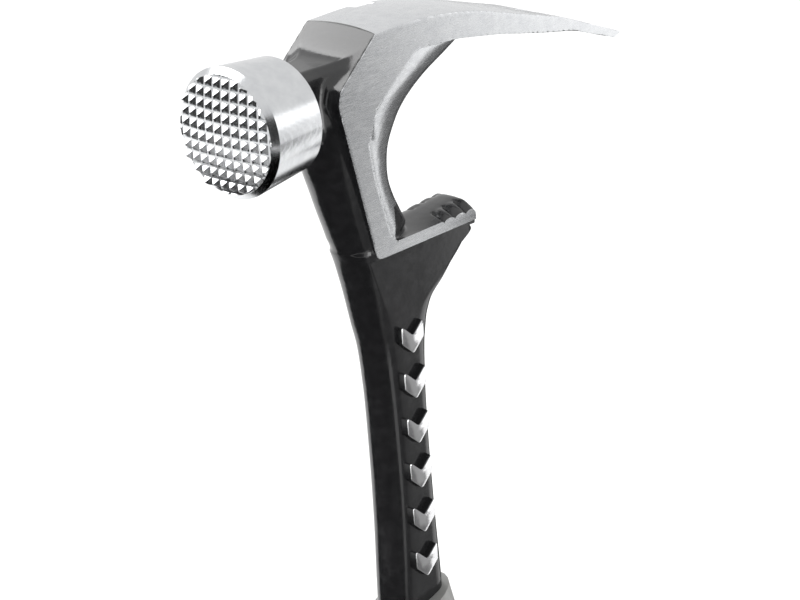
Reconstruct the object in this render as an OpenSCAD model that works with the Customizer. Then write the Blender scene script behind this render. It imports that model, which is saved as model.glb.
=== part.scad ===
// Demolition hammer with a one-piece steel head and shank, a board jaw and a moulded grip.
// Frame: +Z runs up the handle, +X points to the claw, -X to the striking face.
// The origin is the centre of the butt face, on the handle axis.

/* [Overall] */
// Length from the butt face to the top of the striking poll
overall_len = 380; // [360:1:400]
// Height of the crest above the axis of the striking poll
crest_rise = 15.2; // [14.8:0.1:15.6]

/* [Striking poll] */
// Diameter of the striking face
face_d = 32; // [30:0.5:34]
// Diameter of the poll at its rear edge
poll_rear_d = 28.2; // [26:0.2:29]
// Distance from the handle axis to the tips of the milled face
face_reach = 54; // [50:0.5:60]
// Length of the bare poll, from the milled tips to its rear edge
poll_len = 20.4; // [18:0.2:22]
// Pitch of the milled pyramids
mill_pitch = 2.75; // [2.4:0.05:3.2]
// Depth of the milled grooves
mill_depth = 1.2; // [0.8:0.1:1.3]

/* [Head] */
// Width of the head across its two ground cheeks
cheek_w = 22; // [20:0.5:24]
// Distance from the handle axis to the tip of the claw
claw_reach = 78; // [74:1:84]
// Width of the nail slot at the tip of the claw
slot_w = 7; // [5:0.5:8]

/* [Board jaw] */
// Reach of the lower jaw behind the handle axis
jaw_reach = 20; // [16:0.5:22]
// Drop of the lower jaw's underside below the poll axis
jaw_drop = 39.6; // [38:0.2:41]
// Pitch of the teeth along each edge of the lower jaw
tooth_pitch = 4; // [3.5:0.1:4.2]

/* [Shank] */
// Height of the raised blocks above the side of the shank
block_h = 1.8; // [1:0.1:2]
// Number of raised blocks on each side of the shank
block_count = 6; // [3:1:6]

/* [Grip] */
// Height of the top of the grip at the rear of the shank
grip_len = 232; // [225:1:234]
// Wall of the rubber over the hard core
rubber_wall = 3; // [2.5:0.1:3.5]

/* [Hidden] */
$fn = 48;

face_r = face_d / 2;
axis_z = overall_len - face_r;       // height of the poll axis
poll_rear_r = poll_rear_d / 2;
dome_r = 93;                         // crown radius of the striking face
core_sides = 16;                     // sides of each ring of the forged core
grip_sides = 24;                     // sides of each ring of the grip

// ---- curves and lofts -------------------------------------------------

// Slope of a table of [z, value] rows at row i
function row_slope(t, i, c) =
    let (lo = max(i - 1, 0), hi = min(i + 1, len(t) - 1))
    (t[hi][c] - t[lo][c]) / (t[hi][0] - t[lo][0]);

// Row of the table just below z
function row_at(t, z, i = 0) =
    (i >= len(t) - 2 || z < t[i + 1][0]) ? i : row_at(t, z, i + 1);

// Smooth value of column c at height z
function along(t, z, c) =
    let (i = row_at(t, z), h = t[i + 1][0] - t[i][0], u = (z - t[i][0]) / h)
    let (m0 = row_slope(t, i, c) * h, m1 = row_slope(t, i + 1, c) * h)
    (2*u*u*u - 3*u*u + 1) * t[i][c] + (u*u*u - 2*u*u + u) * m0
    + (3*u*u - 2*u*u*u) * t[i + 1][c] + (u*u*u - u*u) * m1;

function signed_pow(v, p) = sign(v) * pow(abs(v), p);

// One ring of a loft: front x, rear x and half thickness, as a superellipse
function ring(front, rear, half_t, z, power, sides) =
    [for (i = [0 : sides - 1]) let (a = 360 * i / sides)
        [(front + rear) / 2 + (rear - front) / 2 * signed_pow(cos(a), 2 / power),
         half_t * signed_pow(sin(a), 2 / power), z]];

// Closed solid through a list of rings, from the lowest to the highest
module loft(rings) {
    n = len(rings[0]);
    last = len(rings) - 1;
    points = [for (r = rings) each r];
    sides = [for (k = [0 : last - 1]) for (i = [0 : n - 1]) let (j = (i + 1) % n)
        each [[k*n + i, (k + 1)*n + i, (k + 1)*n + j], [k*n + i, (k + 1)*n + j, k*n + j]]];
    bottom = [for (i = [0 : n - 1]) i];
    top = [for (i = [n - 1 : -1 : 0]) last*n + i];
    polyhedron(points, concat([bottom], sides, [top]), convexity = 6);
}

// Points on an arc about [cx, cz] from angle a0 to a1
function arc(cx, cz, r, a0, a1, n = 8) =
    [for (i = [0 : n]) let (a = a0 + (a1 - a0) * i / n) [cx + r * cos(a), cz + r * sin(a)]];

// Keep a moulded shell, made from several lofts, as one mesh
module moulded() {
    resize([0, 0, 0]) children();
}

// Extrude an outline in the X-Z plane, centred on Y
module plate(width) {
    rotate([90, 0, 0])
        linear_extrude(width, center = true)
            children();
}

// ---- forged body ------------------------------------------------------

// Core of the forging below the head: height above the poll axis, front x, rear x, half thickness
CORE = [[-140, -8.6, 8.6, 5.4], [-116, -8.4, 8.8, 5.5], [-91, -8.2, 7.8, 5.5], [-68, -9.8, 7.9, 5.6],
        [-59, -11.4, 8.8, 5.9], [-53, -12.8, 14.6, 6.1], [-47, -13.8, 20.6, 6.3], [-43, -14.8, 23.4, 6.4],
        [-38, -16.6, 4, 6.6], [-30, -19.6, -1.4, 7.2], [-21, -22.8, -3.8, 8.2], [-12, -25.2, -0.6, 9.2],
        [-6, -25.8, 5, 9.8], [3, -24, 12, 10]];

module core_loft() {
    heights = [-140, -116, -91, -68, -61, -56, -50, -43, -39, -34, -27, -20, -13, -7, -2, 3];
    loft([for (z = heights)
        ring(along(CORE, z, 1), along(CORE, z, 2), along(CORE, z, 3), axis_z + z, 2.5, core_sides)]);
}

claw_arc_r = 110;                    // crown radius along the root of the claw
claw_arc_end = 18.6;                 // angle at which the crown runs out into the blade
claw_tip_z = -8;
under_root = [12, 7];                // where the claw's underside leaves the inner curve

taper_top = -2;                      // below this height the cheeks lean in towards the jaw
taper = 0.115;                       // lean of each cheek, across over down

// How far each cheek has leaned in at a height
function inset(z) = taper * max(0, taper_top - z);

// Carry a point drawn on the untapered cheek along to the tapered one
function lean(p) = let (o = inset(p[1]) / (1 - 0.53 * taper)) [p[0] + 1.06 * o, p[1] - 0.53 * o];

jaw_half = cheek_w / 2 - inset(lean([0, -36.8])[1]);   // half width of the jaw at its top edge

// Wedge outside the right cheek, mirrored for the left
module taper_cut(side) {
    deep = 46;
    edge = side * cheek_w / 2;
    translate([-60, 0, axis_z + taper_top])
        rotate([90, 0, 90])
            linear_extrude(150)
                polygon([[edge, 0], [edge - side * taper * deep, -deep], [2 * edge, -deep], [2 * edge, 0]]);
}

// Side outline of the head: front bevel, crest, claw, inner curve and jaw
module head_outline() {
    top_arc = arc(-3, crest_rise - claw_arc_r, claw_arc_r, 90, 90 - claw_arc_end, 10);
    tip = [[claw_reach, claw_tip_z], [claw_reach - 2.5, claw_tip_z - 0.9]];
    under = [[48, 0.4], [32, 3.9], [24, 5.6], under_root];
    inner_top = arc(6.5, -0.5, 7.6, 90, 135, 4);
    inner_side = arc(-7.2, -10.2, 8.2, 150, 185, 5);
    inner_low = arc(-6.5, -33.4, 3.4, 195, 270, 6);
    jaw = [[jaw_reach, -36.8], [jaw_reach - 0.3, -jaw_drop]];
    toe = arc(-13, 2 - jaw_drop, 2, 270, 194, 5);
    knee = arc(-20.6, 2.2, 4, 190, 130, 6);
    translate([0, axis_z])
        polygon([for (p = concat([[-11.4, crest_rise]], top_arc, tip, under, inner_top, inner_side,
            inner_low, jaw, toe, knee)) lean(p)]);
}

// Thicker middle of the claw root, under the crest
module claw_root() {
    hull() {
        translate([0, 0, axis_z]) plate(cheek_w - 2) polygon([[-6, 13], [14, 11], [12, 6], [-8, -2]]);
        translate([0, 0, axis_z]) plate(8) polygon([[0, 8], [34, 5], [24, 2], [12, -3.5], [2, -6]]);
    }
}

// Turn a profile of [radius, distance behind the milled tips] about the poll axis
module about_poll() {
    translate([-face_reach, 0, axis_z])
        rotate([0, 90, 0])
            rotate_extrude()
                children();
}

land = 1.3;                          // height of the milled field above the rim bevel
field_r = face_r - 1.6;              // radius of the milled field

module poll() {
    about_poll()
        polygon([[0, land], [field_r, land], [face_r, 2.7], [poll_rear_r, poll_len - 0.6],
            [poll_rear_r - 0.6, poll_len], [11.5, poll_len + 1.2], [10.4, poll_len + 4],
            [10.4, poll_len + 8], [11.4, poll_len + 14], [0, poll_len + 18]]);
}

// Grooves of the milled face, in both directions
module mill_grooves() {
    count = ceil(field_r / mill_pitch);
    for (turn = [0, 90])
        rotate([turn, 0, 0])
            for (i = [-count : count])
                translate([0, (i + 0.5) * mill_pitch, 0])
                    linear_extrude(face_d, center = true)
                        polygon([[-0.1, -mill_pitch * 0.55], [mill_depth, 0], [-0.1, mill_pitch * 0.55]]);
}

module milled_field() {
    translate([-face_reach, 0, axis_z])
        difference() {
            intersection() {
                rotate([0, 90, 0]) cylinder(r = field_r, h = land + 0.4);
                translate([dome_r, 0, 0]) sphere(r = dome_r, $fn = 180);
            }
            mill_grooves();
        }
}

// Flat facets that run from the poll into the top of the head
module neck_block() {
    translate([0, 0, axis_z]) plate(13) polygon([[-34, -6], [-34, 9.4], [-22, 9], [-12, 6], [-16, -10]]);
}

// Raised chevron blocks along both sides of the shank
block_pitch = 11.8;
block_top_z = -60.6;                 // height of the first block above the poll axis
block_x = -1;                        // middle of the right-hand blocks
left_shift = 1.6;                    // how much further back the left-hand blocks stand
module shank_blocks() {
    half = 3.9;
    drop = 3.4;
    bar = 4.6;
    for (side = [-1, 1])
        for (i = [0 : block_count - 1])
            translate([block_x + (side > 0 ? left_shift : 0), side * 5.2,
                axis_z + block_top_z - i * block_pitch])
                rotate([90, 0, 0])
                    linear_extrude(2 * block_h + 0.6, center = true)
                        polygon([[-half, 0], [0, -drop], [half, 0], [half, -bar],
                            [0, -drop - bar], [-half, -bar]]);
}

// V-shaped nail slot of the claw
module nail_slot() {
    slot_root = 36;
    translate([0, 0, axis_z - 30])
        linear_extrude(60)
            polygon([[slot_root, 0.5], [slot_root, -0.5], [claw_reach + 1, -slot_w / 2],
                [claw_reach + 1, slot_w / 2]]);
}

// Small nail puller cut into the left cheek, at the crest
module side_puller() {
    translate([6, cheek_w / 2 - 3.2, axis_z + 6])
        linear_extrude(12)
            polygon([[-0.8, 0], [0.8, 0], [2.4, 4], [-2.4, 4]]);
}

// Scallops between the teeth of the lower jaw
module jaw_scallops() {
    top = lean([jaw_reach, -35.4]);
    for (side = [-1, 1])
        for (i = [0 : 2])
            translate([top[0] - 4 - i * tooth_pitch, side * (jaw_half + 0.3), axis_z + top[1]])
                rotate([side * 35, 0, 0])
                    cylinder(r = 1.7, h = 6, center = true, $fn = 24);
}

// Raised middle of the lower jaw, between the two rows of teeth
module jaw_crown() {
    tip = lean([jaw_reach, -36.8]);
    hull() {
        translate([0, 0, axis_z]) plate(2 * jaw_half - 0.6)
            polygon([[2, tip[1] - 3], [2, tip[1]], [tip[0] - 0.6, tip[1]], [tip[0] - 0.6, tip[1] - 3]]);
        translate([0, 0, axis_z]) plate(5)
            polygon([[2, tip[1] - 3], [3, tip[1] + 0.8], [9, tip[1] + 2.4], [tip[0] - 5, tip[1] + 2.6],
                [tip[0] - 1.4, tip[1] + 1], [tip[0] - 1, tip[1] - 3]]);
    }
}

tang_w = 16;                         // width of the tang
tang_t = 8;                          // thickness of the tang
tine_gap = 6;                        // gap between the tines of the forked tang
fork_top = 132;                      // height of the root of the fork
tang_end = 26;                       // height of the ends of the tines
lock_holes = [150, 196];             // heights of the holes that the core flows through
lock_hole_r = 2.5;

module tang() {
    difference() {
        translate([-tang_w / 2, -tang_t / 2, tang_end])
            cube([tang_w, tang_t, axis_z - 138 - tang_end]);
        translate([-tine_gap / 2, -tang_t, tang_end - 1])
            cube([tine_gap, 2 * tang_t, fork_top - tang_end + 1]);
        translate([0, 0, fork_top])
            rotate([90, 0, 0])
                cylinder(d = tine_gap, h = 2 * tang_t, center = true);
        for (z = lock_holes)
            translate([0, 0, z])
                rotate([90, 0, 0])
                    cylinder(r = lock_hole_r, h = 2 * tang_t, center = true);
    }
}

module forged_body() {
    color([0.16, 0.17, 0.18])
        difference() {
            union() {
                core_loft();
                difference() {
                    plate(cheek_w) head_outline();
                    for (side = [-1, 1]) taper_cut(side);
                }
                claw_root();
                jaw_crown();
                poll();
                milled_field();
                neck_block();
                shank_blocks();
                tang();
            }
            nail_slot();
            side_puller();
            jaw_scallops();
        }
}

// ---- grip -------------------------------------------------------------

// Outside of the grip: height, front x, rear x, half thickness
GRIP = [[0, -16.5, 13.5, 12], [3, -20, 16.5, 14], [9, -22.5, 18.6, 15.8], [20, -22, 18.2, 15.8],
        [42, -17.4, 16.4, 14.6], [80, -17.6, 17.4, 15.8], [120, -16.6, 16.6, 15.2], [165, -15.4, 15.4, 13.8],
        [205, -13.6, 13.6, 12], [220, -12.4, 12.6, 10.6], [228, -10.6, 11, 8.6], [234, -9.8, 10, 7.2]];

// Grip outline shrunk by an inset, between two heights
module grip_loft(inset, z0, z1, steps) {
    loft([for (i = [0 : steps]) let (z = z0 + (z1 - z0) * i / steps)
        ring(along(GRIP, z, 1) + inset, along(GRIP, z, 2) - inset, along(GRIP, z, 3) - inset, z, 2.3,
            grip_sides)]);
}

core_bottom = 9;
collar_low = 214;                    // height at which the collar takes over from the rubber
cap_inset = 4.5;                     // rubber left around the butt cap
inlay_z = [112, 188];                // heights of the lower and upper ends of the side inlays
inlay_w = 11;
inlay_t = 1.4;
inlay_recess = 0.2;                  // how far the inlays sit below the rubber

// Outline of the butt cap and of its seat in the rubber
module cap_outline() {
    z = 3;
    polygon([for (p = ring(along(GRIP, z, 1) + cap_inset, along(GRIP, z, 2) - cap_inset,
        along(GRIP, z, 3) - cap_inset, z, 2.3, grip_sides)) [p[0], p[1]]]);
}

// Everything above the slanted top of the grip, which sits lower at the front
module above_grip_top() {
    translate([11, 0, grip_len])
        rotate([0, -17, 0])
            translate([-60, -30, 0])
                cube([120, 60, 40]);
}

// Room for the forging: the shank above the tang, and the tang
module tang_room() {
    translate([-tang_w / 2, -tang_t / 2, tang_end])
        cube([tang_w, tang_t, axis_z - 138 - tang_end]);
    core_loft();
}

module vibration_damper() {
    damper_len = 44;
    color([0.75, 0.55, 0.12])
        translate([-tine_gap / 2, -tang_t / 2, tang_end])
            cube([tine_gap, tang_t, damper_len]);
}

module grip_core() {
    color([0.3, 0.3, 0.32])
        moulded() {
            difference() {
                grip_loft(rubber_wall, core_bottom, collar_low, 18);
                tang_room();
            }
            for (z = lock_holes)
                translate([0, 0, z])
                    rotate([90, 0, 0])
                        cylinder(r = lock_hole_r, h = tang_t + 1, center = true);
        }
}

// Rounded strip that the side inlays fill, on the side named by side
module inlay_strip(side) {
    rotate([90, 0, 0])
        translate([0, 0, side < 0 ? 0 : -40])
            linear_extrude(40) {
                translate([-inlay_w / 2, inlay_z[0] + inlay_w / 2])
                    square([inlay_w, inlay_z[1] - inlay_z[0] - inlay_w]);
                for (z = [inlay_z[0] + inlay_w / 2, inlay_z[1] - inlay_w / 2])
                    translate([0, z]) circle(d = inlay_w);
            }
}

// Pocket for one inlay, open to the outside of the grip
module inlay_pocket(side) {
    difference() {
        inlay_strip(side);
        grip_loft(inlay_recess + inlay_t, 80, 220, 12);
    }
}

module inlay(side) {
    moulded()
        intersection() {
            grip_loft(inlay_recess, 90, 210, 10);
            inlay_pocket(side);
        }
}

module rubber_grip() {
    color([0.1, 0.1, 0.11])
        moulded() difference() {
            grip_loft(0, 1.2, collar_low, 20);
            grip_loft(rubber_wall, core_bottom, collar_low + 4, 18);
            translate([0, 0, -1]) linear_extrude(core_bottom + 2) cap_outline();
            inlay_pocket(-1);
            inlay_pocket(1);
        }
}

module grip_collar() {
    color([0.35, 0.35, 0.35])
        moulded() difference() {
            grip_loft(0, collar_low, 234, 5);
            core_loft();
            above_grip_top();
        }
}

module left_inlay() {
    color([0.45, 0.46, 0.47]) inlay(1);
}

module right_inlay() {
    color([0.45, 0.46, 0.47]) inlay(-1);
}

module butt_cap() {
    color([0.2, 0.2, 0.21])
        linear_extrude(core_bottom) cap_outline();
}

forged_body();
vibration_damper();
grip_core();
rubber_grip();
grip_collar();
left_inlay();
right_inlay();
butt_cap();
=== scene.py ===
"""Looks of the demolition hammer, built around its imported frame.

The forging, the milled poll and the raised blocks are meshed here and replace the CAD forging. The grip
keeps its CAD nodes and gets moulded materials. Lengths are millimetres about the crossing of the handle and
poll axes, with x towards the claw, y across the head and z up.
"""
import math

import bmesh
import bpy
import numpy as np
from mathutils import Matrix, Vector


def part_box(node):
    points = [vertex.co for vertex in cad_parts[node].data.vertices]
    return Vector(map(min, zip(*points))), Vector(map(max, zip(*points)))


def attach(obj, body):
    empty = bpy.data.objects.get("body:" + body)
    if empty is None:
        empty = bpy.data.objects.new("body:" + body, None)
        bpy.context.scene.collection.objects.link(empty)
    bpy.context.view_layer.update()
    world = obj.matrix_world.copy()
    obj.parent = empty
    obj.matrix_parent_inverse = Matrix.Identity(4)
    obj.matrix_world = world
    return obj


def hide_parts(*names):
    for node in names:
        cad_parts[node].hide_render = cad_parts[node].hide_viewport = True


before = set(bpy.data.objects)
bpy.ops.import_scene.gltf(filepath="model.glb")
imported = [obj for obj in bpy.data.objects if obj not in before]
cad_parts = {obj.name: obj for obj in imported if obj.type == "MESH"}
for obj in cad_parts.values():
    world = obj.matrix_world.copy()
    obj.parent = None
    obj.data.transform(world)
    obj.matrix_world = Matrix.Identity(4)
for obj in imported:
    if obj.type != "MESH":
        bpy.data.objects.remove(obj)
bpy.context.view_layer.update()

# ---- driving sizes ----
MM = 0.001
AXIS_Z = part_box("forged_body")[1].z / MM - 16.0  # poll axis above the butt
FACE_R = 15.97
FACE_REACH = 54.0
POLL_REAR_R = 14.1
POLL_LEN = 20.4
CHEEK_HALF = 11.0      # half thickness of the head at the eye
TAPER = 0.115          # how fast each cheek leans in
TAPER_TOP = -2.0       # where the lean starts
TAPER_MAX = 4.6
CREST_X = -11.4        # front end of the crest
CREST_Z = 15.2
CROWN = 0.7            # rise of the crest along its middle
CLAW_REACH = 77.9
SLOT_ROOT = 34.5       # where the nail slot starts
JAW_TOP = -36.8
JAW_UNDER = -39.6
NECK_HALF = 6.3
NECK_TOP = 9.7
NECK_WAIST = -29.0     # narrowest place of the neck
SHANK_END = -145.0     # cut end, hidden by the grip
HEAD_CELL = 0.42
POLL_CELL = 0.25


# ---- outlines and tables ----
def arc(cx, cz, r, a0, a1, n):
    """Points on an arc, from angle a0 to a1 in degrees."""
    t = np.radians(np.linspace(a0, a1, n + 1))
    return [(cx + r * math.cos(a), cz + r * math.sin(a)) for a in t]


def rounded(corners, steps=6):
    """Outline through (x, z, radius) corners, each rounded to its radius."""
    out = []
    count = len(corners)
    for i, (x, z, r) in enumerate(corners):
        p = np.array((x, z))
        a = np.array(corners[i - 1][:2]) - p
        b = np.array(corners[(i + 1) % count][:2]) - p
        la, lb = np.linalg.norm(a), np.linalg.norm(b)
        if r <= 0 or la < 1e-6 or lb < 1e-6:
            out.append((x, z))
            continue
        half = math.acos(np.clip(a @ b / (la * lb), -1, 1)) / 2
        cut = min(r / math.tan(half), 0.45 * la, 0.45 * lb)
        p0, p1 = p + a / la * cut, p + b / lb * cut
        for t in np.linspace(0, 1, steps + 1):
            out.append(tuple((1 - t) ** 2 * p0 + 2 * t * (1 - t) * p + t * t * p1))
    return out


def head_outline():
    """Side outline of the ground cheek, the claw and the lower jaw."""
    root = arc(-3, CREST_Z - 110, 110, 90, 71.4, 14)
    top = [(CREST_X, CREST_Z, 0.0)] + [(x, z, 0.0) for x, z in root]
    blade = [(56.0, 2.1, 40.0), (CLAW_REACH, -7.2, 0.0), (75.2, -8.1, 0.0), (60.0, -2.4, 30.0)]
    under = [(47.0, 0.3, 20.0), (32.4, 3.8, 20.0), (18.0, 6.5, 14.0), (3.4, 8.0, 7.0)]
    inner = [(-14.0, -4.4, 5.0), (-15.8, -9.6, 5.0), (-14.3, -19.6, 12.0), (-10.4, -33.6, 5.0)]
    throat = [(-8.6, -37.0, 3.2)]
    jaw = [(0.0, JAW_TOP - 0.9, 0.0), (20.0, JAW_TOP - 0.9, 0.0), (19.9, JAW_UNDER, 0.0)]
    front = [(-15.6, JAW_UNDER, 2.6), (-25.2, 1.2, 4.0), (-24.2, 4.6, 3.0)]
    return np.array(rounded(top + blade + under + inner + throat + jaw + front))


def smooth_table(rows, start, stop, step=0.25):
    """Rows of (key, values...) in rising key, resampled with smooth slopes."""
    rows = np.array(rows, float)
    keys = np.arange(start, stop + step, step)
    slopes = np.gradient(rows[:, 1:], rows[:, 0], axis=0)
    i = np.clip(np.searchsorted(rows[:, 0], keys) - 1, 0, len(rows) - 2)
    h = (rows[i + 1, 0] - rows[i, 0])[:, None]
    u = np.clip((keys - rows[i, 0])[:, None] / h, 0, 1)
    a, b = rows[i, 1:], rows[i + 1, 1:]
    vals = ((2 * u**3 - 3 * u**2 + 1) * a + (u**3 - 2 * u**2 + u) * slopes[i] * h
            + (3 * u**2 - 2 * u**3) * b + (u**3 - u**2) * slopes[i + 1] * h)
    return keys, vals


# Core of the forging, from the shank up into the head. Each row: height, front tip, front centre,
# rear centre, rear tip, half thickness at the front, half thickness at the rear, squareness.
CORE = smooth_table([
    (-150, -9.5, -3.5, 3.5, 7.8, 5.2, 5.2, 2.8),
    (-134, -9.4, -3.2, 3.2, 7.9, 5.4, 5.4, 2.8),
    (-112, -8.7, -2.6, 2.6, 6.7, 5.5, 5.5, 2.8),
    (-92, -8.9, -2.4, 2.4, 6.0, 5.5, 5.5, 2.8),
    (-76, -9.6, -2.8, 2.2, 6.4, 5.5, 5.5, 2.8),
    (-65, -10.9, -3.4, 2.2, 7.6, 5.7, 5.7, 2.8),
    (-60, -12.1, -4.4, 3.0, 8.8, 5.9, 5.9, 2.9),
    (-56.4, -12.8, -5.2, 5.0, 10.9, 6.1, 6.0, 3.1),
    (-53.7, -13.3, -6.0, 8.0, 14.2, 6.2, 6.1, 3.4),
    (-50.6, -13.9, -7.0, 11.0, 17.2, 6.3, 6.2, 3.8),
    (-47, -14.8, -8.0, 14.8, 21.0, 6.4, 6.3, 4.4),
    (-43, -15.9, -9.2, 17.0, 23.6, 6.5, 6.4, 4.8),
    (-39.5, -17.2, -10.4, -3.0, 6.0, 6.5, 5.8, 2.2),
    (-36, -18.5, -11.7, -5.0, 4.3, 6.6, 6.1, 2.1),
    (-33, -19.6, -13.0, -6.6, 2.7, 6.7, 6.5, 2.0),
    (-28.5, -21.1, -14.8, -8.4, 0.2, 6.9, 7.0, 2.0),
    (-24, -22.4, -16.5, -10.2, -1.5, 7.1, 7.5, 2.0),
    (-19, -24.0, -18.3, -12.0, -1.7, 7.3, 8.1, 2.0),
    (-15, -25.0, -19.6, -13.2, -0.7, 7.5, 8.5, 2.0),
    (-11, -25.8, -20.8, -14.2, 1.7, 7.8, 9.0, 2.0),
    (-7, -25.4, -22.0, -14.3, 5.1, 8.2, 9.4, 2.0),
    (-3, -25.4, -22.6, -12.6, 10.6, 8.6, 9.8, 2.0),
    (0, -24.6, -22.6, -9.4, 16.4, 9.0, 10.0, 2.0),
    (3, -23.6, -21.6, -5.0, 24.0, 9.2, 10.0, 2.0),
    (6, -20.8, -19.0, -1.0, 30.0, 9.3, 10.0, 2.0),
    (9, -17.4, -16.0, 2.0, 28.0, 9.3, 10.0, 2.0)], -150, 9)


# ---- signed distances, negative inside ----
def smin(a, b, k):
    """Union blended over a width k."""
    h = np.maximum(k - np.abs(a - b), 0) / k
    return np.minimum(a, b) - h * h * h * k / 6


def smax(a, b, k):
    """Intersection blended over a width k."""
    return -smin(-a, -b, k)


def step01(lo, hi, v):
    """Smooth step from 0 at lo to 1 at hi."""
    t = np.clip((v - lo) / (hi - lo), 0, 1)
    return t * t * (3 - 2 * t)


def polygon_distance(pts, x, z):
    """Signed distance from (x, z) to a closed outline."""
    best = np.full(x.shape, 1e9)
    inside = np.zeros(x.shape, bool)
    for (ax, az), (bx, bz) in zip(pts, np.roll(pts, -1, 0)):
        ex, ez = bx - ax, bz - az
        px, pz = x - ax, z - az
        t = np.clip((px * ex + pz * ez) / (ex * ex + ez * ez + 1e-12), 0, 1)
        best = np.minimum(best, (px - t * ex) ** 2 + (pz - t * ez) ** 2)
        crosses = (az > z) != (bz > z)
        if abs(ez) > 1e-12:
            inside ^= crosses & (px < ex * pz / ez)
    return np.where(inside, -1, 1) * np.sqrt(best)


class Field:
    """Bilinear table of an outline's signed distance."""

    def __init__(self, pts, lo, hi, step=0.1):
        self.lo, self.step = np.array(lo, float), step
        self.shape = [int((h - l) / step) + 2 for l, h in zip(lo, hi)]
        gx, gz = np.meshgrid(*[l + step * np.arange(n) for l, n in zip(lo, self.shape)], indexing="ij")
        self.table = polygon_distance(pts, gx, gz)

    def __call__(self, x, z):
        u = np.clip((x - self.lo[0]) / self.step, 0, self.shape[0] - 1.001)
        v = np.clip((z - self.lo[1]) / self.step, 0, self.shape[1] - 1.001)
        i, j = u.astype(int), v.astype(int)
        fu, fv = u - i, v - j
        t = self.table
        return ((t[i, j] * (1 - fv) + t[i, j + 1] * fv) * (1 - fu)
                + (t[i + 1, j] * (1 - fv) + t[i + 1, j + 1] * fv) * fu)


OUTLINE = Field(head_outline(), (-40, -60), (84, 24))
BEVEL_NORMAL = (-0.64, 0.768)


def inset(z):
    """How far each cheek leans in below the eye of the head."""
    drop = TAPER_TOP - z
    return np.minimum(TAPER * (drop + np.sqrt(drop * drop + 9.0)) / 2, TAPER_MAX)


def leaned(x, z):
    """Side coordinates in which the tapered cheek has its drawn outline."""
    o = inset(z)
    return x - 1.06 * o, z + 0.53 * o


def bevel_depth(x, z):
    """Distance outside the plane of the head's front bevel."""
    return (x - CREST_X) * BEVEL_NORMAL[0] + (z - CREST_Z) * BEVEL_NORMAL[1]


def core_distance(x, y, z):
    """Rounded body that runs from the shank into the head, behind the cheeks."""
    keys, vals = CORE
    front, fc, rc, rear, hf, hr, n = (np.interp(z, keys, vals[:, c]) for c in range(7))
    ahead, behind = fc - x, x - rc
    span = np.where(ahead > 0, fc - front, rear - rc)
    u = np.maximum(np.maximum(ahead, behind), 0) / span
    half = hf + (hr - hf) * step01(-2.5, 5.0, x - fc)
    v = np.abs(y) / half
    n = np.where(ahead > 0, np.clip(n, 2.0, 2.5), np.maximum(n, 2.0))
    f = (u**n + v**n + 1e-9) ** (1 / n) - 1
    return smax(f * np.minimum(span, half), z - 8.6, 0.5)


def jaw_distance(x, y, z):
    """Crowned lower jaw with lobed teeth along each edge, in leaned coordinates."""
    half = CHEEK_HALF - inset(z)
    x, z = leaned(x, z)
    ay = np.abs(y) / half
    crown = 2.7 * np.clip(1 - ay**2.6, 0, 1)
    lobes = np.abs(np.cos(np.pi * (x - 10.7) / 4.0)) ** 0.5 - 0.8
    teeth = lobes * (2.0 - 1.1 * ay) * step01(0.34, 0.60, ay) * step01(7.4, 8.7, x)
    top = JAW_TOP + crown * step01(-6, 20, x) + teeth
    nose = x - 20.2 + 0.6 * (1 - ay**2)
    d = smax((z - top) * 0.8, nose, 2.6)
    d = smax(d, -40.6 - z, 0.6)
    d = np.maximum(d, -11.0 - x)
    return np.maximum(d, np.abs(y) - half)


def neck_distance(x, y, z):
    """Waisted neck between the poll and the head, flat on top with hollow sides."""
    flare = np.abs(x - NECK_WAIST) / 14
    half_y = NECK_HALF + 4.6 * flare**2.2
    top = NECK_TOP + 0.3 * flare**2
    d = smax(np.abs(y) - half_y, z - top, 0.5)
    shoulder = (np.abs(y) - half_y) * 0.62 + (z - top) * 0.78 + 1.3
    d = smax(d, shoulder, 0.5)
    d = smax(d, -9.0 - z, 7.0)
    return np.maximum(d, np.maximum(-34.2 - x, x + 14))


def nail_slot(x, ay):
    """Outside of the V-shaped slot between the claws."""
    slot_half = 0.25 + 3.15 * np.clip((x - SLOT_ROOT - 0.5) / 43, 0, 1) ** 0.8
    return np.maximum(ay - slot_half, SLOT_ROOT - x)


def side_puller(x, y, z):
    """Outside of the small nail notch in the +y cheek, at the crest."""
    wedge = np.maximum(np.abs(x - 6.5) - 0.5 - 0.55 * (z - 9.5), 8.2 - y)
    return np.maximum(wedge, 9.5 - z)


def forging_distance(x, y, z):
    """Head, jaw, neck and shank blended into one forging."""
    ay = np.abs(y)
    half = CHEEK_HALF - inset(z)
    lx, lz = leaned(x, z)
    side = OUTLINE(lx, lz - CROWN * (1 - (ay / CHEEK_HALF) ** 2) * step01(2, 9, z))
    plate = smax(side, ay - half, 0.5)
    d = smin(plate, core_distance(x, y, z), 0.9)
    d = smin(d, jaw_distance(x, y, z), 0.8)
    d = smin(d, neck_distance(x, y, z), 3.6)
    ledge = np.where(lz < JAW_UNDER, 0.45, 0.0)
    d = np.maximum(d, ay - half + ledge)
    d = smax(d, -nail_slot(x, ay), 0.5)
    d = smax(d, -side_puller(x, y, z), 0.4)
    return np.maximum(d, SHANK_END - z)


# ---- dual contouring ----
def gradient(fn, p, e=0.02):
    """Central differences of fn at each point."""
    g = np.empty_like(p)
    for k in range(3):
        q, r = p.copy(), p.copy()
        q[:, k] += e
        r[:, k] -= e
        g[:, k] = (fn(*q.T) - fn(*r.T)) / (2 * e)
    return g


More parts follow.
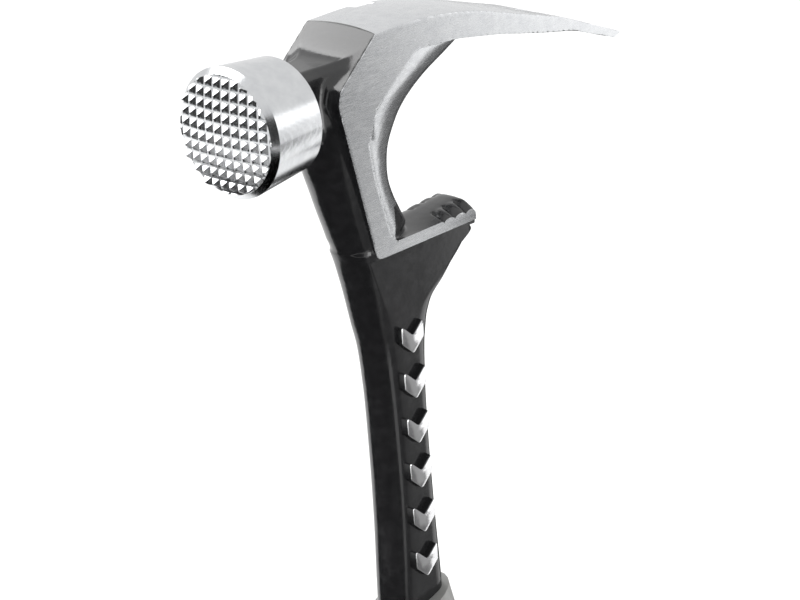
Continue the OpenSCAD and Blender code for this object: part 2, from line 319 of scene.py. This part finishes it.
def bisect(fn, p, k, va, vb, cell):
    """Move points along axis k onto the surface, given the values at both ends of their cell edge."""
    t = va / (va - vb)
    low, high = np.zeros(len(p)), np.ones(len(p))
    for _ in range(5):
        q = p.copy()
        q[:, k] += t * cell
        same = (fn(*q.T) < 0) == (va < 0)
        low, high = np.where(same, t, low), np.where(same, high, t)
        t = (low + high) / 2
    p[:, k] += t * cell
    return p


def place_vertices(points, normals, owner, m, cell):
    """Vertex of each cell where the tangent planes of its edge crossings meet best."""
    count = np.bincount(owner, minlength=m)
    mean = np.stack([np.bincount(owner, points[:, k], m) for k in range(3)], 1) / count[:, None]
    dot = (normals * (points - mean[owner])).sum(1)
    ata = np.zeros((m, 3, 3))
    atb = np.zeros((m, 3))
    for i in range(3):
        atb[:, i] = np.bincount(owner, normals[:, i] * dot, m)
        for j in range(i, 3):
            ata[:, i, j] = ata[:, j, i] = np.bincount(owner, normals[:, i] * normals[:, j], m)
    w, vec = np.linalg.eigh(ata)
    inv = np.where(w > 0.08 * w[:, 2:3], 1 / np.maximum(w, 1e-9), 0)
    shift = np.einsum("nij,nj,nkj,nk->ni", vec, inv, vec, atb)
    size = np.linalg.norm(shift, axis=1)
    shift *= np.minimum(1, 0.9 * cell / np.maximum(size, 1e-9))[:, None]
    return mean + shift


def contour(fn, lo, hi, cell):
    """Quad mesh of fn = 0 inside a box, with sharp edges kept."""
    axes = [np.arange(l, h + cell, cell) for l, h in zip(lo, hi)]
    vals = np.stack([fn(axes[0][:, None], axes[1][None, :], np.full((1, 1), z)) for z in axes[2]], 2)
    cells = np.array(vals.shape) - 1
    sign = vals < 0
    points, normals, owners, quads = [], [], [], []
    grid = np.array([a[0] for a in axes])
    for k in range(3):
        a = [slice(None)] * 3
        b = [slice(None)] * 3
        a[k], b[k] = slice(0, -1), slice(1, None)
        idx = np.argwhere(sign[tuple(a)] != sign[tuple(b)])
        u, v = (k + 1) % 3, (k + 2) % 3
        keep = (idx[:, u] > 0) & (idx[:, v] > 0) & (idx[:, u] < cells[u]) & (idx[:, v] < cells[v])
        idx = idx[keep]
        following = idx.copy()
        following[:, k] += 1
        va, vb = vals[tuple(idx.T)], vals[tuple(following.T)]
        p = bisect(fn, grid + idx * cell, k, va, vb, cell)
        n = gradient(fn, p)
        n /= np.linalg.norm(n, axis=1)[:, None] + 1e-12
        ring = []
        for du, dv in ((-1, -1), (0, -1), (0, 0), (-1, 0)):
            c = idx.copy()
            c[:, u] += du
            c[:, v] += dv
            ring.append(np.ravel_multi_index(tuple(c.T), tuple(cells)))
        ring = np.stack(ring, 1)
        ring[va > 0] = ring[va > 0][:, ::-1]
        quads.append(ring)
        for c in range(4):
            points.append(p)
            normals.append(n)
            owners.append(ring[:, c])
    used, owner = np.unique(np.concatenate(owners), return_inverse=True)
    verts = place_vertices(np.concatenate(points), np.concatenate(normals), owner, len(used), cell)
    return verts, np.searchsorted(used, np.concatenate(quads))


# ---- meshes ----
def add_mesh(name, verts, faces):
    """New smooth-shaded object in the shared frame, from millimetre points about the axis crossing."""
    verts = np.asarray(verts, float) + (0, 0, AXIS_Z)
    mesh = bpy.data.meshes.new(name)
    mesh.from_pydata((verts * MM).tolist(), [], [tuple(map(int, f)) for f in faces])
    mesh.validate()
    mesh.update()
    obj = bpy.data.objects.new(name, mesh)
    bpy.context.collection.objects.link(obj)
    mesh.shade_smooth()
    return obj


def sharpen(obj, degrees):
    """Keep the edges steeper than an angle sharp."""
    obj.data.set_sharp_from_angle(angle=math.radians(degrees))


def float_attribute(obj, name, values):
    """Store one value per vertex."""
    attr = obj.data.attributes.new(name, "FLOAT", "POINT")
    attr.data.foreach_set("value", np.asarray(values, np.float32))


BARE_FRONT = -12.2     # front limit of the bare steel on the crest
WEB_BOTTOM = 30.5      # how far below the poll axis the bare web reaches


def bare_distance(p):
    """Distance inside the bare steel of the forging, negative where it is painted."""
    x, y, z = p.T
    lx, lz = leaned(x, z)
    keys, vals = CORE
    past_cheek = np.abs(y) - (CHEEK_HALF - inset(z))
    cheek = np.minimum(past_cheek + 0.1, -OUTLINE(lx, lz) - 0.02)
    jaw = np.minimum(past_cheek + 0.06, np.minimum(JAW_TOP + 0.3 - lz, lz - JAW_UNDER))
    sides = np.maximum(cheek, np.minimum(jaw, lx + 8.0))
    middle = (np.interp(z, keys, vals[:, 1]) + np.interp(z, keys, vals[:, 2])) / 2
    divide = np.where(z > 2, BARE_FRONT, np.minimum(middle, BARE_FRONT))
    divide = np.where(z < -8, middle, divide)
    behind = np.minimum(x - divide, -0.12 - bevel_depth(x, z))
    web = np.minimum(behind, np.maximum(-3.6 - x + 0.4 * np.sin(y), z + WEB_BOTTOM))
    return np.maximum(sides, web)


def make_forging():
    """Forging without the poll, with its mask of bare steel."""
    lo, hi = (-35.0, -12.0, -146.0), (79.6, 12.0, 17.4)
    verts, quads = contour(forging_distance, lo, hi, HEAD_CELL)
    obj = add_mesh("forging", verts, quads)
    sharpen(obj, 32)
    float_attribute(obj, "bare", bare_distance(verts))
    return obj


# ---- poll ----
TOOTH_PITCH = 2.75
TOOTH_DEPTH = 1.2
TOOTH_LAND = 0.22      # half width of the flat on each tooth
FIELD_R = 14.4         # radius of the toothed field
DOME_R = 93.0          # radius to which the face is crowned
FACE_BAND = 2.7        # length of the straight part behind the face


def poll_distance(x, y, z):
    """Tapered barrel with a crowned face cut into pyramids."""
    r = np.sqrt(y * y + z * z)
    tip = -FACE_REACH + 0.05 + DOME_R - np.sqrt(DOME_R**2 - np.minimum(r, 20.0) ** 2)
    half = TOOTH_PITCH / 2
    fy = np.abs((y / TOOTH_PITCH) % 1 - 0.5) * TOOTH_PITCH
    fz = np.abs((z / TOOTH_PITCH) % 1 - 0.5) * TOOTH_PITCH
    high = np.minimum(half - fy, half - fz)
    height = np.clip((high - TOOTH_LAND) / (half - TOOTH_LAND), 0, 1) * TOOTH_DEPTH
    field = tip + TOOTH_DEPTH - height - x
    plain = tip + TOOTH_DEPTH + 0.02 + np.maximum(r - FIELD_R, 0) * 0.85 - x
    front = np.where(r < FIELD_R, field, plain) * 0.75
    slope = (FACE_R - POLL_REAR_R) / (POLL_LEN - FACE_BAND)
    side = r - FACE_R + np.maximum(x + FACE_REACH - FACE_BAND, 0) * slope
    back = x + FACE_REACH - POLL_LEN
    rear = (r - POLL_REAR_R + back) * 0.707 + 0.5
    return np.maximum(np.maximum(front, side), np.maximum(back, rear))


def make_poll():
    """Poll with its milled striking face."""
    verts, quads = contour(poll_distance, (-55.1, -16.6, -16.6), (-32.6, 16.6, 16.6), POLL_CELL)
    obj = add_mesh("milled_poll", verts, quads)
    sharpen(obj, 18)
    return obj


# ---- raised blocks on the shank ----
BLOCK_COUNT = 6
BLOCK_PITCH = 11.8
BLOCK_TOP_Z = -60.6
BLOCK_X = -1.0         # middle of the blocks on the -y side
FAR_SHIFT = 1.6        # how much nearer the claw the blocks on the +y side stand
BLOCK_HALF = 3.9
BLOCK_DROP = 3.4       # depth of the V
BLOCK_BAR = 4.6
BLOCK_ROOT = 4.6       # distance from the middle plane, inside the shank
BLOCK_FACE = 7.3


def block_outline(k, shift):
    """Chevron outline of one block, in (x, z)."""
    x, z = BLOCK_X + shift, BLOCK_TOP_Z - BLOCK_PITCH * k
    upper = [(-BLOCK_HALF, 0, 0.6), (0, -BLOCK_DROP, 0.9), (BLOCK_HALF, 0, 0.6)]
    lower = [(px, pz - BLOCK_BAR, r) for px, pz, r in reversed(upper)]
    return rounded([(x + px, z + pz, r) for px, pz, r in upper + lower], 3)


def make_blocks():
    """Chevrons on both sides of the shank, with painted flanks and polished faces."""
    # scale of the outline, distance from the middle plane, 1 where the steel is bare
    levels = [(1.10, BLOCK_ROOT, 0), (1.0, BLOCK_FACE - 0.35, 0),
              (1.0, BLOCK_FACE - 0.12, 1), (0.95, BLOCK_FACE, 1)]
    verts, faces, bare = [], [], []
    for side in (-1, 1):
        for k in range(BLOCK_COUNT):
            ring = np.array(block_outline(k, 0 if side < 0 else FAR_SHIFT))
            mid = ring.mean(0)
            turn = -side  # the far side is wound the other way
            n = len(ring)
            base = len(verts)
            top = base + (len(levels) - 1) * n
            for scale, y, b in levels:
                for p in mid + (ring - mid) * scale:
                    verts.append((p[0], side * y, p[1]))
                    bare.append(b)
            for row in range(base, top, n):
                for i in range(n):
                    j = (i + 1) % n
                    faces.append((row + i, row + j, row + j + n, row + i + n)[::turn])
            faces.append(range(top, top + n)[::turn])
            faces.append(range(base, base + n)[::-turn])
    obj = add_mesh("shank_blocks", verts, faces)
    bm = bmesh.new()
    bm.from_mesh(obj.data)
    bmesh.ops.recalc_face_normals(bm, faces=bm.faces)
    bm.to_mesh(obj.data)
    bm.free()
    sharpen(obj, 35)
    float_attribute(obj, "bare", np.array(bare) - 0.5)
    return obj


# ---- materials ----
class Shade:
    """Small node-graph builder on one material."""

    def __init__(self, name):
        self.mat = bpy.data.materials.new(name)
        self.mat.use_nodes = True
        self.nodes, self.links = self.mat.node_tree.nodes, self.mat.node_tree.links
        self.bsdf = self.nodes["Principled BSDF"]
        self.coord = self.nodes.new("ShaderNodeTexCoord").outputs["Object"]

    def feed(self, socket, value):
        """Link a socket, or set it to a constant."""
        if isinstance(value, bpy.types.NodeSocket):
            self.links.new(value, socket)
        elif isinstance(value, tuple) and socket.type == "RGBA":
            socket.default_value = (*value, 1.0)
        else:
            socket.default_value = value

    def set(self, **values):
        """Feed the shader's own sockets, named with _ for a space."""
        for key, value in values.items():
            self.feed(self.bsdf.inputs[key.replace("_", " ")], value)

    def node(self, kind, **inputs):
        n = self.nodes.new(kind)
        for key, value in inputs.items():
            self.feed(n.inputs[key.replace("_", " ")], value)
        return n

    def stretched(self, scale):
        """Object coordinates scaled per axis, so that noise on them runs in streaks."""
        return self.node("ShaderNodeMapping", Vector=self.coord, Scale=scale).outputs[0]

    def noise(self, scale, detail=4.0, rough=0.55, vector=None):
        return self.node("ShaderNodeTexNoise", Vector=vector or self.coord, Scale=scale, Detail=detail,
                         Roughness=rough).outputs["Fac"]

    def ramp(self, value, low, high, a, b):
        """Map low..high to a..b, clamped."""
        n = self.node("ShaderNodeMapRange", Value=value, From_Min=low, From_Max=high, To_Min=a, To_Max=b)
        return n.outputs[0]

    def mix(self, fac, a, b):
        """Blend two colours."""
        n = self.nodes.new("ShaderNodeMix")
        n.data_type = "RGBA"
        for index, value in ((0, fac), (6, a), (7, b)):
            self.feed(n.inputs[index], value)
        return n.outputs[2]

    def blend(self, fac, a, b):
        """Blend two numbers."""
        n = self.nodes.new("ShaderNodeMix")
        for index, value in ((0, fac), (2, a), (3, b)):
            self.feed(n.inputs[index], value)
        return n.outputs[0]

    def math(self, op, a, b):
        n = self.nodes.new("ShaderNodeMath")
        n.operation = op
        self.feed(n.inputs[0], a)
        self.feed(n.inputs[1], b)
        return n.outputs[0]

    def bare_steel(self, wobble, soft):
        """1 on bare steel and 0 on paint, from the mesh's own mask."""
        n = self.nodes.new("ShaderNodeAttribute")
        n.attribute_name = "bare"
        edge = self.math("ADD", n.outputs["Fac"], wobble)
        return self.ramp(edge, -soft, soft, 0.0, 1.0)

    def bump(self, height, strength, distance):
        return self.node("ShaderNodeBump", Height=height, Strength=strength, Distance=distance).outputs[0]


STEEL = (0.66, 0.67, 0.68)
STEEL_WORN = (0.60, 0.61, 0.625)
POLISHED = (0.80, 0.80, 0.81)
PAINT = (0.010, 0.010, 0.0108)
PAINT_DUSTY = (0.016, 0.016, 0.0172)


def forged_material():
    """Black paint with the ground faces bare, split by the mesh's own mask."""
    s = Shade("forged_paint_and_steel")
    wobble = s.ramp(s.noise(900.0), 0.3, 0.7, -0.02, 0.02)
    bare = s.bare_steel(wobble, 0.04)
    grain = s.noise(1.0, 5.0, 0.6, s.stretched((260.0, 260.0, 2600.0)))
    mottle = s.noise(420.0, 5.0, 0.6)
    peel = s.noise(700.0, 3.0, 0.5)
    steel = s.mix(s.ramp(mottle, 0.35, 0.65, 0.0, 1.0), STEEL, STEEL_WORN)
    paint = s.mix(s.ramp(mottle, 0.45, 0.75, 0.0, 1.0), PAINT, PAINT_DUSTY)
    paint_rough = s.ramp(mottle, 0.3, 0.7, 0.13, 0.21)
    steel_rough = s.ramp(grain, 0.3, 0.7, 0.22, 0.31)
    s.set(Base_Color=s.mix(bare, paint, steel), Metallic=bare, IOR=s.blend(bare, 1.62, 1.5))
    s.set(Roughness=s.blend(bare, paint_rough, steel_rough))
    height = s.blend(bare, s.math("MULTIPLY", peel, 0.6), s.math("MULTIPLY", grain, 0.18))
    s.set(Normal=s.bump(height, 0.35, 0.00008))
    return s.mat


def poll_material():
    """Turned steel with its grain running round the barrel."""
    s = Shade("poll_steel")
    grain = s.noise(1.0, 5.0, 0.6, s.stretched((3000.0, 160.0, 160.0)))
    mottle = s.noise(300.0, 4.0, 0.5)
    s.set(Base_Color=s.mix(s.ramp(mottle, 0.35, 0.65, 0.0, 1.0), STEEL, STEEL_WORN), Metallic=1.0)
    s.set(Roughness=s.ramp(grain, 0.3, 0.7, 0.15, 0.24), Normal=s.bump(grain, 0.25, 0.00004))
    return s.mat


def block_material():
    """Paint on the flanks and polished steel on the faces of the blocks."""
    s = Shade("block_polish")
    bare = s.bare_steel(0.0, 0.05)
    grain = s.noise(1.0, 4.0, 0.6, s.stretched((400.0, 400.0, 2400.0)))
    s.set(Base_Color=s.mix(bare, PAINT, POLISHED), Metallic=bare)
    s.set(Roughness=s.blend(bare, 0.26, s.ramp(grain, 0.3, 0.7, 0.12, 0.24)))
    s.set(Normal=s.bump(grain, 0.2, 0.00004))
    return s.mat


def moulded_material(name, color, low, high, grain_scale, depth):
    """Moulded plastic or rubber with a fine texture and slight colour drift."""
    s = Shade(name)
    fine = s.noise(grain_scale, 4.0, 0.6)
    drift = s.noise(60.0, 3.0, 0.5)
    shade = tuple(c * 0.72 for c in color)
    s.set(Base_Color=s.mix(s.ramp(drift, 0.35, 0.65, 0.0, 1.0), color, shade))
    s.set(Roughness=s.ramp(fine, 0.3, 0.7, low, high), Normal=s.bump(fine, 0.5, depth))
    return s.mat


def give(obj, mat):
    """Replace the materials of an object with one."""
    obj.data.materials.clear()
    obj.data.materials.append(mat)


# ---- pieces ----
forging = make_forging()
poll = make_poll()
blocks = make_blocks()
for piece, mat in ((forging, forged_material()), (poll, poll_material()), (blocks, block_material())):
    give(piece, mat)
    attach(piece, "root")
    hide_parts("forged_body")

inlay = moulded_material("inlay_plastic", (0.09, 0.095, 0.1), 0.4, 0.55, 1400.0, 0.00005)
NODE_LOOKS = {
    "vibration_damper": moulded_material("elastomer", (0.55, 0.35, 0.05), 0.5, 0.7, 900.0, 0.00006),
    "grip_core": moulded_material("core_plastic", (0.05, 0.05, 0.055), 0.4, 0.55, 1200.0, 0.00004),
    "rubber_grip": moulded_material("grip_rubber", (0.018, 0.018, 0.02), 0.55, 0.75, 1500.0, 0.0001),
    "grip_collar": moulded_material("collar_plastic", (0.30, 0.30, 0.29), 0.35, 0.5, 1400.0, 0.00005),
    "left_inlay": inlay,
    "right_inlay": inlay,
    "butt_cap": moulded_material("cap_plastic", (0.014, 0.014, 0.015), 0.35, 0.5, 1400.0, 0.00005),
}
for name, mat in NODE_LOOKS.items():
    give(bpy.data.objects[name], mat)


# ---- stage, lights and camera ----
# Lengths from here on are metres.
AIM = Vector((0.0, 0.0, 0.335))        # middle of the head and shank
FLOOR_SIDE = 9.0
LIGHT_FROM = 2.0                       # cards at least this strong also light the scene


def stage_mesh(name, verts, faces, mat):
    """New object of the studio."""
    data = bpy.data.meshes.new(name)
    data.from_pydata(verts, [], faces)
    data.materials.append(mat)
    obj = bpy.data.objects.new(name, data)
    bpy.context.collection.objects.link(obj)
    return obj


def emitter(name, strength):
    """White emission of one strength."""
    mat = bpy.data.materials.new(name)
    mat.use_nodes = True
    tree = mat.node_tree
    tree.nodes.clear()
    light = tree.nodes.new("ShaderNodeEmission")
    light.inputs[0].default_value = (1, 1, 1, 1)
    light.inputs[1].default_value = strength
    out = tree.nodes.new("ShaderNodeOutputMaterial")
    tree.links.new(light.outputs[0], out.inputs[0])
    return mat


def make_card(name, verts, faces, strength):
    """Card that shows only in reflections, or also lights the scene when it is strong."""
    obj = stage_mesh(name, verts, faces, emitter(name, strength))
    obj.visible_camera = False
    obj.visible_shadow = False
    obj.visible_diffuse = strength >= LIGHT_FROM


def card(name, azimuth, elevation, distance, width, height, strength, aim=AIM):
    """Flat card facing a point, placed by its direction: azimuth from +X towards +Y, then elevation."""
    a, e = math.radians(azimuth), math.radians(elevation)
    away = Vector((math.cos(a) * math.cos(e), math.sin(a) * math.cos(e), math.sin(e)))
    turn = away.to_track_quat("Z", "Y").to_matrix()
    corners = [aim + away * distance + turn @ Vector((sx * width / 2, sy * height / 2, 0))
               for sx, sy in ((-1, -1), (1, -1), (1, 1), (-1, 1))]
    make_card(name, [tuple(c) for c in corners], [(0, 1, 2, 3)], strength)


def ground_card(name, start, stop, inner, outer, strength):
    """Ring sector lying just above the floor, between two azimuths."""
    steps = 16
    angles = [math.radians(start + (stop - start) * k / steps) for k in range(steps + 1)]
    verts = [(r * math.cos(a), r * math.sin(a), 0.003) for a in angles for r in (inner, outer)]
    faces = [(2 * k, 2 * k + 1, 2 * k + 3, 2 * k + 2) for k in range(steps)]
    make_card(name, verts, faces, strength)


def make_floor():
    """Plain pale floor, lifted a little by its own emission."""
    paper = Shade("paper_floor")
    paper.set(Base_Color=(0.85, 0.85, 0.85), Roughness=0.9)
    paper.set(Emission_Color=(1.0, 1.0, 1.0), Emission_Strength=0.15)
    corners = [(sx * FLOOR_SIDE, sy * FLOOR_SIDE, 0) for sx, sy in ((-1, -1), (1, -1), (1, 1), (-1, 1))]
    stage_mesh("floor", corners, [(0, 1, 2, 3)], paper.mat)


make_floor()
card("overhead_light", 108, 48, 1.6, 1.5, 1.0, 5.2)
card("dark_flag", -152, 0, 0.95, 1.8, 0.66, 0.05)
card("key_strip", -32, 7, 1.2, 0.40, 0.34, 1.9)
card("core_flag", 22, -21, 0.5, 0.36, 0.30, 0.03)
card("web_flag", -6, -24, 0.09, 0.055, 0.06, 0.10, Vector((-0.006, -0.008, 0.346)))
card("shank_flag", -44, -20, 0.15, 0.06, 0.15, 0.35, Vector((-0.010, -0.017, 0.280)))
card("neck_glint", -78, -20, 0.22, 0.06, 0.07, 4.5, Vector((-0.027, -0.009, 0.368)))
card("cheek_flag", -44, -24, 0.30, 0.20, 0.28, 0.16, Vector((-0.092, -0.058, 0.305)))
card("claw_card", -44, -20, 0.32, 0.24, 0.26, 1.45, Vector((0.112, 0.085, 0.340)))
ground_card("dark_ground", -250, -100, 0.06, 0.80, 0.0)
ground_card("grey_ground", -100, -28, 0.06, 0.55, 0.24)

world = bpy.data.worlds.new("studio")
world.use_nodes = True
world.node_tree.nodes["Background"].inputs[0].default_value = (1, 1, 1, 1)
world.node_tree.nodes["Background"].inputs[1].default_value = 0.95
scene = bpy.context.scene
scene.world = world
scene.view_settings.view_transform = "Standard"

camera_data = bpy.data.cameras.new("camera")
camera_data.lens = 185.1
camera_data.sensor_width = 36.0
camera = bpy.data.objects.new("camera", camera_data)
bpy.context.collection.objects.link(camera)
right = Vector((0.66866, -0.74106, -0.06108))
up = Vector((0.29424, 0.18825, 0.93701))
back = right.cross(up)
camera.matrix_world = Matrix((right, up, back)).transposed().to_4x4()
camera.location = (-0.6800, -0.6445, 0.6504)
scene.camera = camera
